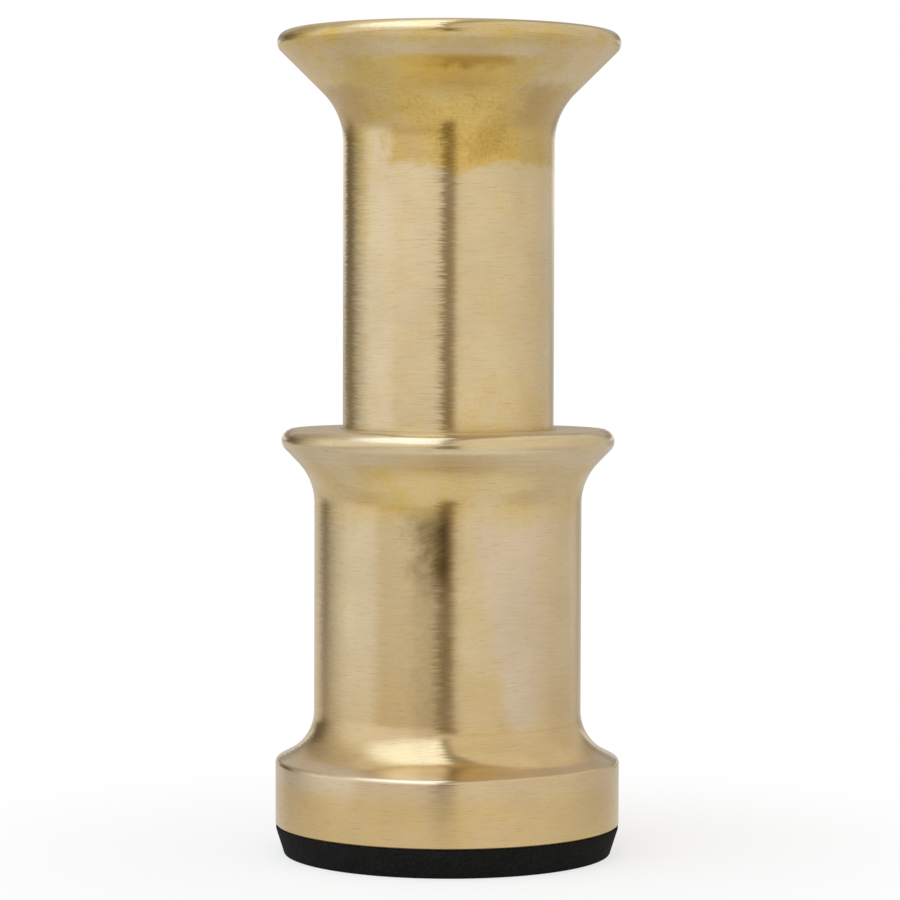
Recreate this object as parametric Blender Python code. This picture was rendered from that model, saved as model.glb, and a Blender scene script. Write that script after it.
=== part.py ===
"""Hair stacker for fly tying: a flared barrel that lifts out of a heavy cup on a rubber foot pad.

Lengths are in metres and angles in degrees. All three pieces are turned about +Z.
The origin lies on that axis, under the foot pad.
"""

import math

import bmesh
import bpy

# Bar, cleaned up, that the cup and the barrel are both turned from
BAR_DIAMETER = 0.0317

# Cup, outside: a foot band, a shoulder, a straight body and a flared finger rim
FOOT_DIAMETER = BAR_DIAMETER
FOOT_BAND_HEIGHT = 0.00575
FOOT_CORNER_CHAMFER = 0.0002
FOOT_EDGE_RADIUS = 0.0005
FOOT_SHOULDER_ANGLE = 63.0
FOOT_COVE_RADIUS = 0.0044
BODY_DIAMETER = 0.0246
RIM_DIAMETER = 0.0306
RIM_LIP_RADIUS = 0.0011
RIM_FLARE_ANGLE = 44.0
RIM_COVE_RADIUS = 0.0054
CUP_HEIGHT = 0.0365

# Cup, inside: a flat-bottomed bore that the barrel slides in
FLOOR_THICKNESS = 0.0070
BORE_CHAMFER = 0.0003
SLIDE_CLEARANCE = 0.0001

# Barrel: a tube of even wall that opens into a funnel
BARREL_DIAMETER = 0.0194
BARREL_WALL = 0.0020
BARREL_LENGTH = 0.0655
BARREL_END_CHAMFER = 0.0004
SEAT_GAP = 0.0003
MOUTH_TRIM = 0.0001
MOUTH_DIAMETER = BAR_DIAMETER - 2 * MOUTH_TRIM
MOUTH_FLARE_ANGLE = 45.4
MOUTH_THROAT_RADIUS = 0.0064

# Foot pad, a tapered rubber disc glued under the cup
PAD_SETBACK = 0.00005
PAD_TAPER = 0.0007
PAD_TOP_DIAMETER = FOOT_DIAMETER - 2 * PAD_SETBACK
PAD_BOTTOM_DIAMETER = PAD_TOP_DIAMETER - 2 * PAD_TAPER
PAD_THICKNESS = 0.0023
GLUE_FILM = 0.0003

# Facets
TURN_STEPS = 64
ARC_STEP_ANGLE = 14.0
SHARP_ANGLE = 28.0
WELD_DISTANCE = 1e-7

# Finishes, with colours as linear light
BARREL_COLOUR = (0.60, 0.45, 0.22)
CUP_COLOUR = (0.62, 0.47, 0.25)
BRASS_ROUGHNESS = 0.28
BRASS_METALLIC = 1.0
RUBBER_COLOUR = (0.011, 0.011, 0.010)
RUBBER_ROUGHNESS = 0.75
RUBBER_METALLIC = 0.0


def clear_scene():
    for existing in list(bpy.data.objects):
        bpy.data.objects.remove(existing)


def finish(name, colour, roughness, metallic):
    """A material with one Principled shader."""
    material = bpy.data.materials.new(name)
    material.use_nodes = True
    shader = material.node_tree.nodes["Principled BSDF"]
    shader.inputs["Base Color"].default_value = (*colour, 1.0)
    shader.inputs["Roughness"].default_value = roughness
    shader.inputs["Metallic"].default_value = metallic
    return material


def arc(centre, radius, start, end):
    """Points (radius from the axis, height) on an arc, both ends included. Angle 0 points outwards."""
    steps = max(1, math.ceil(abs(end - start) / ARC_STEP_ANGLE))
    angles = [math.radians(start + (end - start) * i / steps) for i in range(steps + 1)]
    return [(centre[0] + radius * math.cos(a), centre[1] + radius * math.sin(a)) for a in angles]


class Flare:
    """The outside of a wall that opens into a rounded edge: a cove, a straight cone and the edge's round.

    Heights count down from the edge's widest point. The cone makes an angle with the axis.
    The cove is limited by the width that the edge leaves it.
    """

    def __init__(self, wall_radius, edge_radius, edge_round, cove_radius, angle):
        lean = math.radians(angle)
        spread = 1.0 - math.cos(lean)
        room = edge_radius - wall_radius - edge_round * spread
        self.angle = angle
        self.cove_radius = min(cove_radius, room / spread)
        cone_drop = (room - self.cove_radius * spread) / math.tan(lean)
        self.height = (edge_round + self.cove_radius) * math.sin(lean) + cone_drop
        self.edge_centre = (edge_radius - edge_round, 0.0)
        self.edge_round = edge_round
        self.cove_centre = (wall_radius + self.cove_radius, -self.height)

    def edge(self, start):
        """The edge's round, from an angle above the widest point down to the cone."""
        return arc(self.edge_centre, self.edge_round, start, -self.angle)

    def cove(self, wall=0.0):
        """The cove, from the cone down to the wall, or its parallel at the back of a wall that thick."""
        return arc(self.cove_centre, self.cove_radius + wall, 180.0 - self.angle, 180.0)


def lifted(points, height):
    return [(radius, z + height) for radius, z in points]


def upside_down(points):
    return [(radius, -z) for radius, z in points]


def turned(name, outline, height, material):
    """A piece turned about +Z from its outline of (radius, height) points, set at a height.

    An outline that starts and ends on the axis gives a solid piece, and any other is closed into a ring.
    """
    shape = bmesh.new()
    corners = [shape.verts.new((radius, 0.0, z)) for radius, z in outline]
    sides = list(zip(corners, corners[1:]))
    if outline[0][0] > 0.0:
        sides.append((corners[-1], corners[0]))
    edges = [shape.edges.new(side) for side in sides]
    bmesh.ops.spin(
        shape,
        geom=corners + edges,
        cent=(0.0, 0.0, 0.0),
        axis=(0.0, 0.0, 1.0),
        angle=math.tau,
        steps=TURN_STEPS,
        use_merge=True,
    )
    bmesh.ops.remove_doubles(shape, verts=shape.verts, dist=WELD_DISTANCE)
    bmesh.ops.recalc_face_normals(shape, faces=shape.faces)
    mesh = bpy.data.meshes.new(name)
    shape.to_mesh(mesh)
    shape.free()
    mesh.shade_smooth()
    mesh.set_sharp_from_angle(angle=math.radians(SHARP_ANGLE))
    mesh.materials.append(material)
    piece = bpy.data.objects.new(name, mesh)
    piece.location.z = height
    bpy.context.collection.objects.link(piece)
    return piece


def pad_outline():
    return [
        (0.0, 0.0),
        (PAD_BOTTOM_DIAMETER / 2, 0.0),
        (PAD_TOP_DIAMETER / 2, PAD_THICKNESS),
        (0.0, PAD_THICKNESS),
    ]


def cup_outline():
    """The cup, from the middle of its underside, up the outside, down the bore to the middle of its floor."""
    body_radius = BODY_DIAMETER / 2
    foot_radius = FOOT_DIAMETER / 2
    bore_radius = BARREL_DIAMETER / 2 + SLIDE_CLEARANCE
    foot = Flare(body_radius, foot_radius, FOOT_EDGE_RADIUS, FOOT_COVE_RADIUS, FOOT_SHOULDER_ANGLE)
    rim = Flare(body_radius, RIM_DIAMETER / 2, RIM_LIP_RADIUS, RIM_COVE_RADIUS, RIM_FLARE_ANGLE)
    underside = [
        (0.0, 0.0),
        (foot_radius - FOOT_CORNER_CHAMFER, 0.0),
        (foot_radius, FOOT_CORNER_CHAMFER),
    ]
    shoulder = lifted(upside_down(foot.edge(0.0) + foot.cove()), FOOT_BAND_HEIGHT)
    finger_rim = lifted(rim.edge(90.0) + rim.cove(), CUP_HEIGHT - RIM_LIP_RADIUS)
    bore = [
        (bore_radius + BORE_CHAMFER, CUP_HEIGHT),
        (bore_radius, CUP_HEIGHT - BORE_CHAMFER),
        (bore_radius, FLOOR_THICKNESS),
        (0.0, FLOOR_THICKNESS),
    ]
    return underside + shoulder + finger_rim[::-1] + bore


def barrel_outline():
    """The barrel, from its lower end up the outside, round the mouth's lip and down the bore."""
    outer_radius = BARREL_DIAMETER / 2
    bore_radius = outer_radius - BARREL_WALL
    lip = BARREL_WALL / 2
    mouth = Flare(outer_radius, MOUTH_DIAMETER / 2, lip, MOUTH_THROAT_RADIUS, MOUTH_FLARE_ANGLE)
    widest = BARREL_LENGTH - lip
    outside = lifted(mouth.edge(180.0 - MOUTH_FLARE_ANGLE) + mouth.cove(), widest)
    inside = lifted(mouth.cove(BARREL_WALL), widest)
    lower_end = [
        (bore_radius, BARREL_END_CHAMFER),
        (bore_radius + BARREL_END_CHAMFER, 0.0),
        (outer_radius - BARREL_END_CHAMFER, 0.0),
        (outer_radius, BARREL_END_CHAMFER),
    ]
    return lower_end + outside[::-1] + inside


def main():
    clear_scene()
    barrel_brass = finish("barrel_brass", BARREL_COLOUR, BRASS_ROUGHNESS, BRASS_METALLIC)
    cup_brass = finish("cup_brass", CUP_COLOUR, BRASS_ROUGHNESS, BRASS_METALLIC)
    pad_rubber = finish("pad_rubber", RUBBER_COLOUR, RUBBER_ROUGHNESS, RUBBER_METALLIC)
    cup_height = PAD_THICKNESS + GLUE_FILM
    seat_height = cup_height + FLOOR_THICKNESS + SEAT_GAP
    turned("foot_pad", pad_outline(), 0.0, pad_rubber)
    turned("base_cup", cup_outline(), cup_height, cup_brass)
    turned("flared_barrel", barrel_outline(), seat_height, barrel_brass)


main()
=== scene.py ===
"""The looks of a turned brass hair stacker: fine pieces, finishes, a light tent and the photo's camera.

Lengths are in metres and angles in degrees. Patterns on brass and rubber are laid out in millimetres. Each
piece is drawn as an outline of (radius, height) points and spun about the Z axis. Heights and widths come
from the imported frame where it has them. Azimuth 0 faces the camera, along -Y, and grows to the right.

Colours are linear light. A soft edge is a pair of numbers: its share is 0 at the first and 1 at the second.
A stretch is two soft edges, with a share of 1 between them.
"""

import math

import bpy
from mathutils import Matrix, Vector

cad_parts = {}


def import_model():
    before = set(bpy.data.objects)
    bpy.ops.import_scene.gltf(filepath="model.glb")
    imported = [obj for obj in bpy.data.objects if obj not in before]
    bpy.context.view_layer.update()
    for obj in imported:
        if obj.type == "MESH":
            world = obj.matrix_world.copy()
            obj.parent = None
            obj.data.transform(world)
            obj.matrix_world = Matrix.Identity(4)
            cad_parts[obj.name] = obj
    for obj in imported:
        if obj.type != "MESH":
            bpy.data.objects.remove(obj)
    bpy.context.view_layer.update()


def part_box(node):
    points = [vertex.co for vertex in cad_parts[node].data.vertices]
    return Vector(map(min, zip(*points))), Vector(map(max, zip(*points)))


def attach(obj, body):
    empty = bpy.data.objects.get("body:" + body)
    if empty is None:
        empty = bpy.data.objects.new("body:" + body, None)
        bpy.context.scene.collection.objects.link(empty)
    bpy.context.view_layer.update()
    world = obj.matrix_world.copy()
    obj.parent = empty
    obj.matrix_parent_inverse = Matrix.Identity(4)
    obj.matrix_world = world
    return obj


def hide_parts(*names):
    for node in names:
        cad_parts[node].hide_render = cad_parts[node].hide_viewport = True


# Camera
CAMERA_DISTANCE = 0.2964
CAMERA_HEIGHT = 0.0494
CAMERA_SIDE_STEP = 0.00014
CAMERA_PITCH = 2.37
CAMERA_ROLL = 0.17
CAMERA_LENS_MM = 128.8
CAMERA_SENSOR_MM = 36.0
CAMERA_CLIP_START = 0.01

# Cup
BODY_DIAMETER = 0.0246
FOOT_BAND_HEIGHT = 0.00575
FOOT_CORNER_CHAMFER = 0.0002
FOOT_EDGE_RADIUS = 0.0005
FOOT_SHOULDER_ANGLE = 63.0
FOOT_COVE_RADIUS = 0.0044
RIM_DIAMETER = 0.0306
RIM_LIP_RADIUS = 0.0011
RIM_FLARE_ANGLE = 44.0
RIM_COVE_RADIUS = 0.0054
FLOOR_THICKNESS = 0.0070
BORE_CHAMFER = 0.0003
SLIDE_CLEARANCE = 0.0001

# Barrel
BARREL_DIAMETER = 0.0194
BARREL_WALL = 0.0020
BARREL_END_CHAMFER = 0.0004
MOUTH_FLARE_ANGLE = 45.4
MOUTH_THROAT_RADIUS = 0.0064

# Foot pad
PAD_TAPER = 0.0007
PAD_EDGE_RADIUS = 0.00012

# Mesh
TURN_STEPS = 256
ARC_STEP_ANGLE = 3.0
LEAST_ARC_STEPS = 2
GUARD_DISTANCE = 0.00025
GUARDED_LENGTH = 3.0 * GUARD_DISTANCE
WELD_DISTANCE = 1e-7
SHARP_ANGLE = 28.0

# Patterns that the finishes share
MM_PER_METRE = 1000.0
NOISE_MIDDLE = 0.5
MID_GREY = (NOISE_MIDDLE, NOISE_MIDDLE, NOISE_MIDDLE)
SWAY_SCALE = 0.3
SMUDGE_EDGE = (0.3, 0.7)
CLOUD_SCALE = 0.3
CLOUD_EDGE = (0.38, 0.62)
GRAIN_SCALE = 3.5
SCRATCH_LIMIT = 0.85
SCRATCH_SOFTNESS = 0.04

# Brass
CLEAN_BRASS = (0.70, 0.575, 0.375)
PALE_BRASS = (0.70, 0.585, 0.445)
WARM_BRASS = (0.66, 0.495, 0.265)
DARK_BRASS = (0.44, 0.25, 0.05)
TARNISHED_BRASS = (0.68, 0.488, 0.155)
GOLDEN_TARNISH = (0.78, 0.55, 0.135)
BROWN_TARNISH = (0.49, 0.35, 0.175)
HEAVY_TARNISH = (0.49, 0.32, 0.085)
# Dark smear on the cup, partly a painted reflection of the camera's dark slot
SMEAR_AND_REFLECTION_COLOUR = (0.15, 0.095, 0.03)
PIT_COLOUR = (0.08, 0.055, 0.03)
PATCH_SIZE = 6.0
PATCH_SHADES = (0.97, 1.05)
PATCH_ROUGHNESS = 0.02
FINE_LINES = {"Length": 2.2, "Pitch": 0.12, "Sway": 0.2}
FINE_LINE_SHADES = (-0.06, 0.06)
PITS = {"Spacing": 3.0, "Size": 0.09, "Share": 0.05}
SCRATCHES = {"Slope": 0.6, "Length": 4.0, "Width": 0.06, "Share": 0.02}
SCRATCH_DARKNESS = 0.3
HAIRLINES = {"Slope": 0.03, "Length": 1.5, "Width": 0.06, "Share": 0.16}
HAIRLINE_DARKNESS = 0.15
FACED_RISE = (0.93, 0.99)
FACED_ROUGHNESS = 0.2
OVERHANG_RISE = (-0.4, -0.65)
OVERHANG_ROUGHNESS = 0.12
BRUSH_MARKS = {"Length": 1.8, "Pitch": 0.09, "Sway": 0.6}
BRUSHING_ON_RIGHT = 0.07
BRUSHING_ALONG = 0.05
BRASS_ANISOTROPY = 0.45
ALONG_THE_AXIS = 0.25
LEFT_HALF_EDGE = (3.0, -3.0)
LEFT_HALF_BACK_END = (-172.0, -126.0)
TARNISH_HELD_BACK = 0.06

# Cup's finish
CUP_ROUGHNESS = 0.195
CUP_BRUSHING_ON_LEFT = 0.14
CUP_TARNISH = {"Clouds": 0.25, "Grain": 1.0}
CUP_RAGGED_SCALE = 0.9
CUP_RAGGED_TURN = 14.0
WARMTH_HEIGHTS = (22.0, 8.0)
BODY_STRETCH = ((11.0, 14.0), (33.5, 30.0))
PALE_LEFT_EDGE = (14.0, 21.0)
PALE_RIGHT_EDGE = (54.0, 32.0)
PALE_MIDDLE = 24.0
PALE_DRIFT = 0.86
YELLOW_LEFT_EDGE = (-3.0, 3.0)
YELLOW_SHARE = 0.15
COVE_STRETCH = ((29.5, 33.0), (36.7, 35.7))
COVE_HEAVY_STRETCH = ((-44.0, -28.0), (12.0, -2.0))
COVE_SHARES = (0.44, 0.72)
FOOT_TARNISH_HEIGHTS = (10.5, 8.0)
FOOT_TARNISH_SHARE = 0.18
# Paler foot edge and cone: rubbed brass, and partly a painted highlight, more on the left side
FOOT_WEAR_AND_HIGHLIGHT_STRETCH = ((5.8, 8.2), (9.6, 8.9))
FOOT_WEAR_AND_HIGHLIGHT_SHARES = (0.42, 0.75)
# The cup's dark smear, partly a painted reflection of the camera's dark slot
SMEAR_AND_REFLECTION_STROKES = {"Slope": 0.5, "Length": 1.6, "Width": 0.13, "Share": 0.4}
SMEAR_AND_REFLECTION_STROKE_SHARES = (0.9, 1.0)
SMEAR_AND_REFLECTION_STRETCH = ((9.0, 13.0), (33.2, 30.4))
SMEAR_AND_REFLECTION_DENSE_HEIGHTS = (23.0, 27.5)
SMEAR_AND_REFLECTION_SHARES = (0.30, 0.82)
SMEAR_AND_REFLECTION_LEFT_EDGE = (-22.0, -3.5)
SMEAR_AND_REFLECTION_THIN_RIGHT_EDGE = (0.0, -9.0)
SMEAR_AND_REFLECTION_DENSE_RIGHT_EDGE = (3.0, -2.0)
SMEAR_AND_REFLECTION_MIDDLE = 29.5
SMEAR_AND_REFLECTION_DRIFT = 1.2
SMEAR_AND_REFLECTION_LEAST_DRIFT = -1.0
GROOVE_HEIGHTS = (36.65, 36.15)
GROOVE_WIDTH = 0.10
SHOULDER_LINE = {"Height": 12.35, "Width": 0.30}
SHOULDER_LINE_STRETCH = ((0.0, 12.0), (165.0, 120.0))
LINE_SMUDGE_SIZE = 4.0
LINE_SHARE = 0.2

# Barrel's finish
BARREL_ROUGHNESS = 0.205
BARREL_BRUSHING_ON_LEFT = 0.24
BARREL_TARNISH = {"Clouds": 0.18, "Grain": 0.65}
BARREL_TARNISH_COLOURS = [(0.0, CLEAN_BRASS), (0.58, TARNISHED_BRASS), (1.0, HEAVY_TARNISH)]
BARREL_RAGGED_SCALE = 1.0
BARREL_RAGGED_HEIGHT = 2.0
BARREL_RAGGED_TURN = 24.0
BARREL_SMUDGE_SIZE = 3.0
TARNISH_LOW_EDGE = (62.3, 63.9)
TARNISH_HIGH_EDGE = (71.8, 72.6)
TARNISH_HIGH_SHARE = 0.21
STREAK_STRETCH = ((-8.0, 2.0), (22.0, 10.0))
STREAK_DROP = 1.0
STREAK_SHARE = 0.10
BAND_STRETCH = ((-42.0, -28.0), (112.0, 88.0))
BAND_LEFT_PART = (-2.0, -16.0)
BAND_SHARES = (0.70, 0.54)
BAND_HEAVY_STRETCH = ((6.0, 24.0), (46.0, 34.0))
BAND_HEAVY_SHARE = 0.14
BAND_RIGHT_END = (34.0, 48.0)
BAND_RIGHT_END_SHARE = 0.60
BAND_BROWNED_SHARE = 0.35
FLARE_HEIGHTS = (65.5, 67.5)
FLARE_SHARE = 0.61
FLARE_PALER_HEIGHTS = (68.2, 69.8)
FLARE_PALER_SHARE = 0.53
FLARE_LEFT_SIDE = (-34.0, -54.0)
FLARE_RIGHT_SIDE = (28.0, 46.0)
FLARE_TOP = (69.4, 70.8)
FLARE_SIDE_SHARE = 0.24
FLARE_BROWNED_SHARE = 0.7
LIP_STRETCH = ((73.0, 73.7), (74.9, 74.2))
LIP_SHARE = 0.32
STAIN_TOP = (72.5, 72.0)
STAIN_BOTTOM = (70.9, 72.0)
STAIN_STRETCH = ((-22.0, 6.0), (34.0, 14.0))
STAIN_SHARES = (0.55, 0.8)
GOLDEN_BOTTOM = (69.4, 71.2)
GOLDEN_STRETCH = ((-32.0, -12.0), (34.0, 16.0))
GOLDEN_SHARE = 0.7
LEFT_TINT_SIDE = (-40.0, -52.0)
LEFT_TINT_HEIGHTS = (54.0, 62.0)
LEFT_TINT_SHARE = 0.3
TUBE_FOOT_HEIGHTS = (48.0, 40.0)
TUBE_FOOT_LEFT_EDGE = (2.0, -8.0)
TUBE_FOOT_SHARES = (0.2, 0.06)

# Rubber
RUBBER_COLOUR = (0.005, 0.005, 0.0045)
RUBBER_WORN_COLOUR = (0.014, 0.014, 0.013)
RUBBER_GRAIN_SCALE = 5.0
RUBBER_GRAIN_EDGE = (0.35, 0.65)
RUBBER_BLOOM_SIZE = 1.6
RUBBER_BLOOM_SHARES = (0.5, 1.0)
RUBBER_ROUGHNESS = (0.80, 0.95)
RUBBER_SPECULAR = 0.12
RUBBER_BUMP = {"Strength": 0.5, "Distance": 0.00006}
DUST = {"Spacing": 0.9, "Size": 0.06, "Share": 0.12}
DUST_COLOUR = (0.22, 0.21, 0.20)
DUST_SHARE = 0.7

# Floor
FLOOR_RADIUS = 0.068
FLOOR_STEPS = 128
FLOOR_DROP = 0.00002
FLOOR_FADE_START = 0.018
FLOOR_WHITE_SHARE = 0.68
FLOOR_COLOUR = (0.96, 0.96, 0.96)
FLOOR_ROUGHNESS = 0.9
FLOOR_MIRRORED_FRONT = (0.86, 0.84, 0.80)
FLOOR_MIRRORED_BACK = (0.67, 0.65, 0.62)
FLOOR_FRONT_PLACE = (0.015, -0.035)
WHITE = (1.0, 1.0, 1.0)

# Light tent. Its heights are the upward part of a direction of length 1
FULL_TURN = 360.0
FRONT_TURN = 0.5
TENT_WALLS = [
    (-180.0, (0.60, 0.57, 0.54)),
    (-156.0, (0.52, 0.48, 0.42)),
    (-146.0, (0.15, 0.12, 0.08)),
    (-131.0, (0.22, 0.19, 0.13)),
    (-112.0, (0.68, 0.65, 0.57)),
    (-95.0, (0.96, 0.96, 0.95)),
    (-20.0, (1.0, 0.98, 0.95)),
    (8.0, (0.90, 0.85, 0.74)),
    (65.0, (0.87, 0.82, 0.70)),
    (105.0, (0.75, 0.70, 0.62)),
    (122.0, (0.69, 0.65, 0.58)),
    (140.0, (0.70, 0.66, 0.60)),
    (152.0, (0.48, 0.43, 0.36)),
    (164.0, (0.58, 0.55, 0.52)),
    (180.0, (0.60, 0.57, 0.54)),
]
UPPER_WALL_COLOUR = (0.72, 0.69, 0.63)
UPPER_WALL_HEIGHTS = (0.30, 0.90)
HIGH_CORNER_COLOUR = (0.66, 0.62, 0.54)
HIGH_CORNER_AZIMUTHS = (-100.0, -122.0)
HIGH_CORNER_HEIGHTS = (0.18, 0.36)
HIGH_CORNER_SHARE = 0.45
TENT_FOOT_FRONT = (0.86, 0.84, 0.80)
TENT_FOOT_SIDES = (0.68, 0.65, 0.61)
TENT_FOOT_FRONT_AZIMUTHS = (80.0, 30.0)
TENT_FOOT_HEIGHTS = (-0.07, -0.20)
ROOF_COLOUR = (0.88, 0.84, 0.76)
ROOF_HEIGHTS = (0.72, 0.88)

# Back of the tent
BACK_SIDES = (142.0, 160.0)
BACK_GLOW_COLOUR = (0.90, 0.88, 0.85)
BACK_GLOW_STRETCH = ((0.0, 0.03), (0.10, 0.07))
BACK_STRIP_COLOUR = (0.20, 0.17, 0.12)
BACK_STRIP_STRETCH = ((0.09, 0.13), (0.28, 0.20))
BACK_STRIP_SHARE = 0.6

# Front of the tent, with the camera's slot
LOW_STRETCH = ((-0.022, -0.05), (-0.20, -0.13))
LOW_FRONT_COLOUR = (0.68, 0.59, 0.39)
LOW_FRONT_LEFT_EDGE = (-72.0, -56.0)
LOW_LEFT_COLOUR = (0.70, 0.64, 0.56)
LOW_LEFT_EDGE = (-128.0, -150.0)
SLOT_LOW_COLOUR = (0.22, 0.16, 0.08)
SLOT_HIGH_COLOUR = (0.26, 0.20, 0.11)
SLOT_STRETCH = ((0.30, 0.12), (-0.42, -0.32))
SLOT_LEFT_EDGE = (-10.0, -3.5)
SLOT_RIGHT_EDGE = (11.5, 4.0)
SLOT_LOW_SHIFT = 2.5
SLOT_LOWEST_HEIGHTS = (-0.065, -0.115)
SLOT_LOWEST_SHIFT = 2.4

# Overhead lights, with edges on a plane 1 above the object. A line there has a slope and a start
KEY_COLOUR = (1.60, 1.80, 2.10)
KEY_LEFT_EDGE = (-2.2, -0.5)
KEY_BACK_END = (0.50, 0.0)
KEY_BACK_SLANT = -0.35
KEY_HEIGHTS = (0.36, 0.46)
PANEL_COLOUR = (1.02, 0.97, 0.87)
PANEL_HEIGHTS = (0.35, 0.60)
PANEL_SHARE = 0.28
GAP_LEFT_LINE = (0.12, 0.03)
GAP_LEFT_EDGE = (-0.05, 0.04)
GAP_RIGHT_LINE = (0.25, 0.25)
GAP_RIGHT_LEAST = 0.06
GAP_RIGHT_EDGE = (0.04, -0.03)
GAP_HEIGHTS = (0.30, 0.42)
GAP_DEPTHS = (-0.4, 0.5)
GAP_SHARES = (0.85, 0.35)


def arc(centre, radius, start, end):
    """Points on an arc, both ends included. Angle 0 points away from the axis."""
    steps = max(LEAST_ARC_STEPS, math.ceil(abs(end - start) / ARC_STEP_ANGLE))
    angles = [math.radians(start + (end - start) * step / steps) for step in range(steps + 1)]
    across, up = centre
    return [(across + radius * math.cos(angle), up + radius * math.sin(angle)) for angle in angles]


class Flare:
    """The outside of a wall that opens into a rounded edge: a cove, a straight cone and the edge's round.

    Heights count down from the edge's widest point. The cone makes an angle with the axis.
    """

    def __init__(self, wall_radius, edge_radius, edge_round, cove_radius, angle):
        lean = math.radians(angle)
        spread = 1.0 - math.cos(lean)
        room = edge_radius - wall_radius - edge_round * spread
        cone_drop = (room - cove_radius * spread) / math.tan(lean)
        height = (edge_round + cove_radius) * math.sin(lean) + cone_drop
        self.angle = angle
        self.edge_round = edge_round
        self.cove_radius = cove_radius
        self.edge_centre = (edge_radius - edge_round, 0.0)
        self.cove_centre = (wall_radius + cove_radius, -height)

    def edge(self, start):
        """The edge's round, from an angle above the widest point down to the cone."""
        return arc(self.edge_centre, self.edge_round, start, -self.angle)

    def cove(self, wall=0.0):
        """The cove, from the cone down to the wall, or its parallel at the back of a wall that thick."""
        return arc(self.cove_centre, self.cove_radius + wall, 180.0 - self.angle, 180.0)


def lifted(points, height):
    return [(radius, z + height) for radius, z in points]


def upside_down(points):
    return [(radius, -z) for radius, z in points]


def guarded(points, closed):
    """The outline with two more points on each long straight run, so that smooth shading is flat there."""
    ends = points[1:] + points[:1] if closed else points[1:]
    result = []
    for (r0, z0), (r1, z1) in zip(points, ends):
        length = math.hypot(r1 - r0, z1 - z0)
        result.append((r0, z0))
        if length > GUARDED_LENGTH:
            share = GUARD_DISTANCE / length
            result.append((r0 + (r1 - r0) * share, z0 + (z1 - z0) * share))
            result.append((r1 - (r1 - r0) * share, z1 - (z1 - z0) * share))
    return result if closed else result + [points[-1]]


def turned(name, outline):
    """A piece spun about Z from its outline: solid if that starts on the axis, or else a closed ring."""
    closed = outline[0][0] > 0.0
    points = guarded(outline, closed)
    bpy.ops.object.select_all(action="DESELECT")
    bpy.ops.mesh.primitive_plane_add(size=GUARD_DISTANCE)
    piece = bpy.context.object
    piece.name = name
    bpy.ops.object.mode_set(mode="EDIT")
    bpy.ops.mesh.select_all(action="SELECT")
    bpy.ops.mesh.merge(type="CENTER")
    bpy.ops.transform.translate(value=(points[0][0], 0.0, points[0][1]))
    for (r0, z0), (r1, z1) in zip(points, points[1:]):
        bpy.ops.mesh.extrude_vertices_move(TRANSFORM_OT_translate={"value": (r1 - r0, 0.0, z1 - z0)})
    if closed:
        join_ends(piece)
    bpy.ops.mesh.select_all(action="SELECT")
    bpy.ops.mesh.spin(steps=TURN_STEPS, angle=math.tau, center=(0.0, 0.0, 0.0), axis=(0.0, 0.0, 1.0))
    bpy.ops.mesh.select_all(action="SELECT")
    bpy.ops.mesh.remove_doubles(threshold=WELD_DISTANCE)
    bpy.ops.mesh.normals_make_consistent(inside=False)
    bpy.ops.object.mode_set(mode="OBJECT")
    bpy.ops.object.shade_smooth_by_angle(angle=math.radians(SHARP_ANGLE))
    return piece


def join_ends(piece):
    """An edge between the first and the last point that were drawn."""
    bpy.ops.object.mode_set(mode="OBJECT")
    vertices = piece.data.vertices
    for vertex in vertices:
        vertex.select = vertex.index in (0, len(vertices) - 1)
    bpy.ops.object.mode_set(mode="EDIT")
    bpy.ops.mesh.edge_face_add()


def pad_outline():
    """The rubber disc, from the middle of its underside, up to the cup through the film of glue."""
    low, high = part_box("foot_pad")
    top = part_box("base_cup")[0].z
    edge_centre = (high.x - PAD_TAPER - PAD_EDGE_RADIUS, low.z + PAD_EDGE_RADIUS)
    edge = arc(edge_centre, PAD_EDGE_RADIUS, -90.0, 0.0)
    return [(0.0, low.z)] + edge + [(high.x, high.z), (high.x, top), (0.0, top)]


def cup_outline():
    """The cup, from the middle of its underside, up the outside and down the bore to its floor's middle."""
    low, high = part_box("base_cup")
    body_radius = BODY_DIAMETER / 2
    foot_radius = high.x
    bore_radius = BARREL_DIAMETER / 2 + SLIDE_CLEARANCE
    height = high.z - low.z
    foot = Flare(body_radius, foot_radius, FOOT_EDGE_RADIUS, FOOT_COVE_RADIUS, FOOT_SHOULDER_ANGLE)
    rim = Flare(body_radius, RIM_DIAMETER / 2, RIM_LIP_RADIUS, RIM_COVE_RADIUS, RIM_FLARE_ANGLE)
    underside = [(0.0, 0.0), (foot_radius - FOOT_CORNER_CHAMFER, 0.0), (foot_radius, FOOT_CORNER_CHAMFER)]
    shoulder = lifted(upside_down(foot.edge(0.0) + foot.cove()), FOOT_BAND_HEIGHT)
    finger_rim = lifted(rim.edge(90.0) + rim.cove(), height - RIM_LIP_RADIUS)
    bore = [
        (bore_radius + BORE_CHAMFER, height),
        (bore_radius, height - BORE_CHAMFER),
        (bore_radius, FLOOR_THICKNESS),
        (0.0, FLOOR_THICKNESS),
    ]
    return lifted(underside + shoulder + finger_rim[::-1] + bore, low.z)


def barrel_outline():
    """The barrel, from its lower end up the outside, round the mouth's lip and down the bore."""
    low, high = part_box("flared_barrel")
    outer_radius = BARREL_DIAMETER / 2
    bore_radius = outer_radius - BARREL_WALL
    lip = BARREL_WALL / 2
    mouth = Flare(outer_radius, high.x, lip, MOUTH_THROAT_RADIUS, MOUTH_FLARE_ANGLE)
    widest = high.z - low.z - lip
    outside = lifted(mouth.edge(180.0 - MOUTH_FLARE_ANGLE) + mouth.cove(), widest)
    inside = lifted(mouth.cove(BARREL_WALL), widest)
    lower_end = [
        (bore_radius, BARREL_END_CHAMFER),
        (bore_radius + BARREL_END_CHAMFER, 0.0),
        (outer_radius - BARREL_END_CHAMFER, 0.0),
        (outer_radius, BARREL_END_CHAMFER),
    ]
    return lifted(lower_end + outside[::-1] + inside, low.z)


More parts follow.
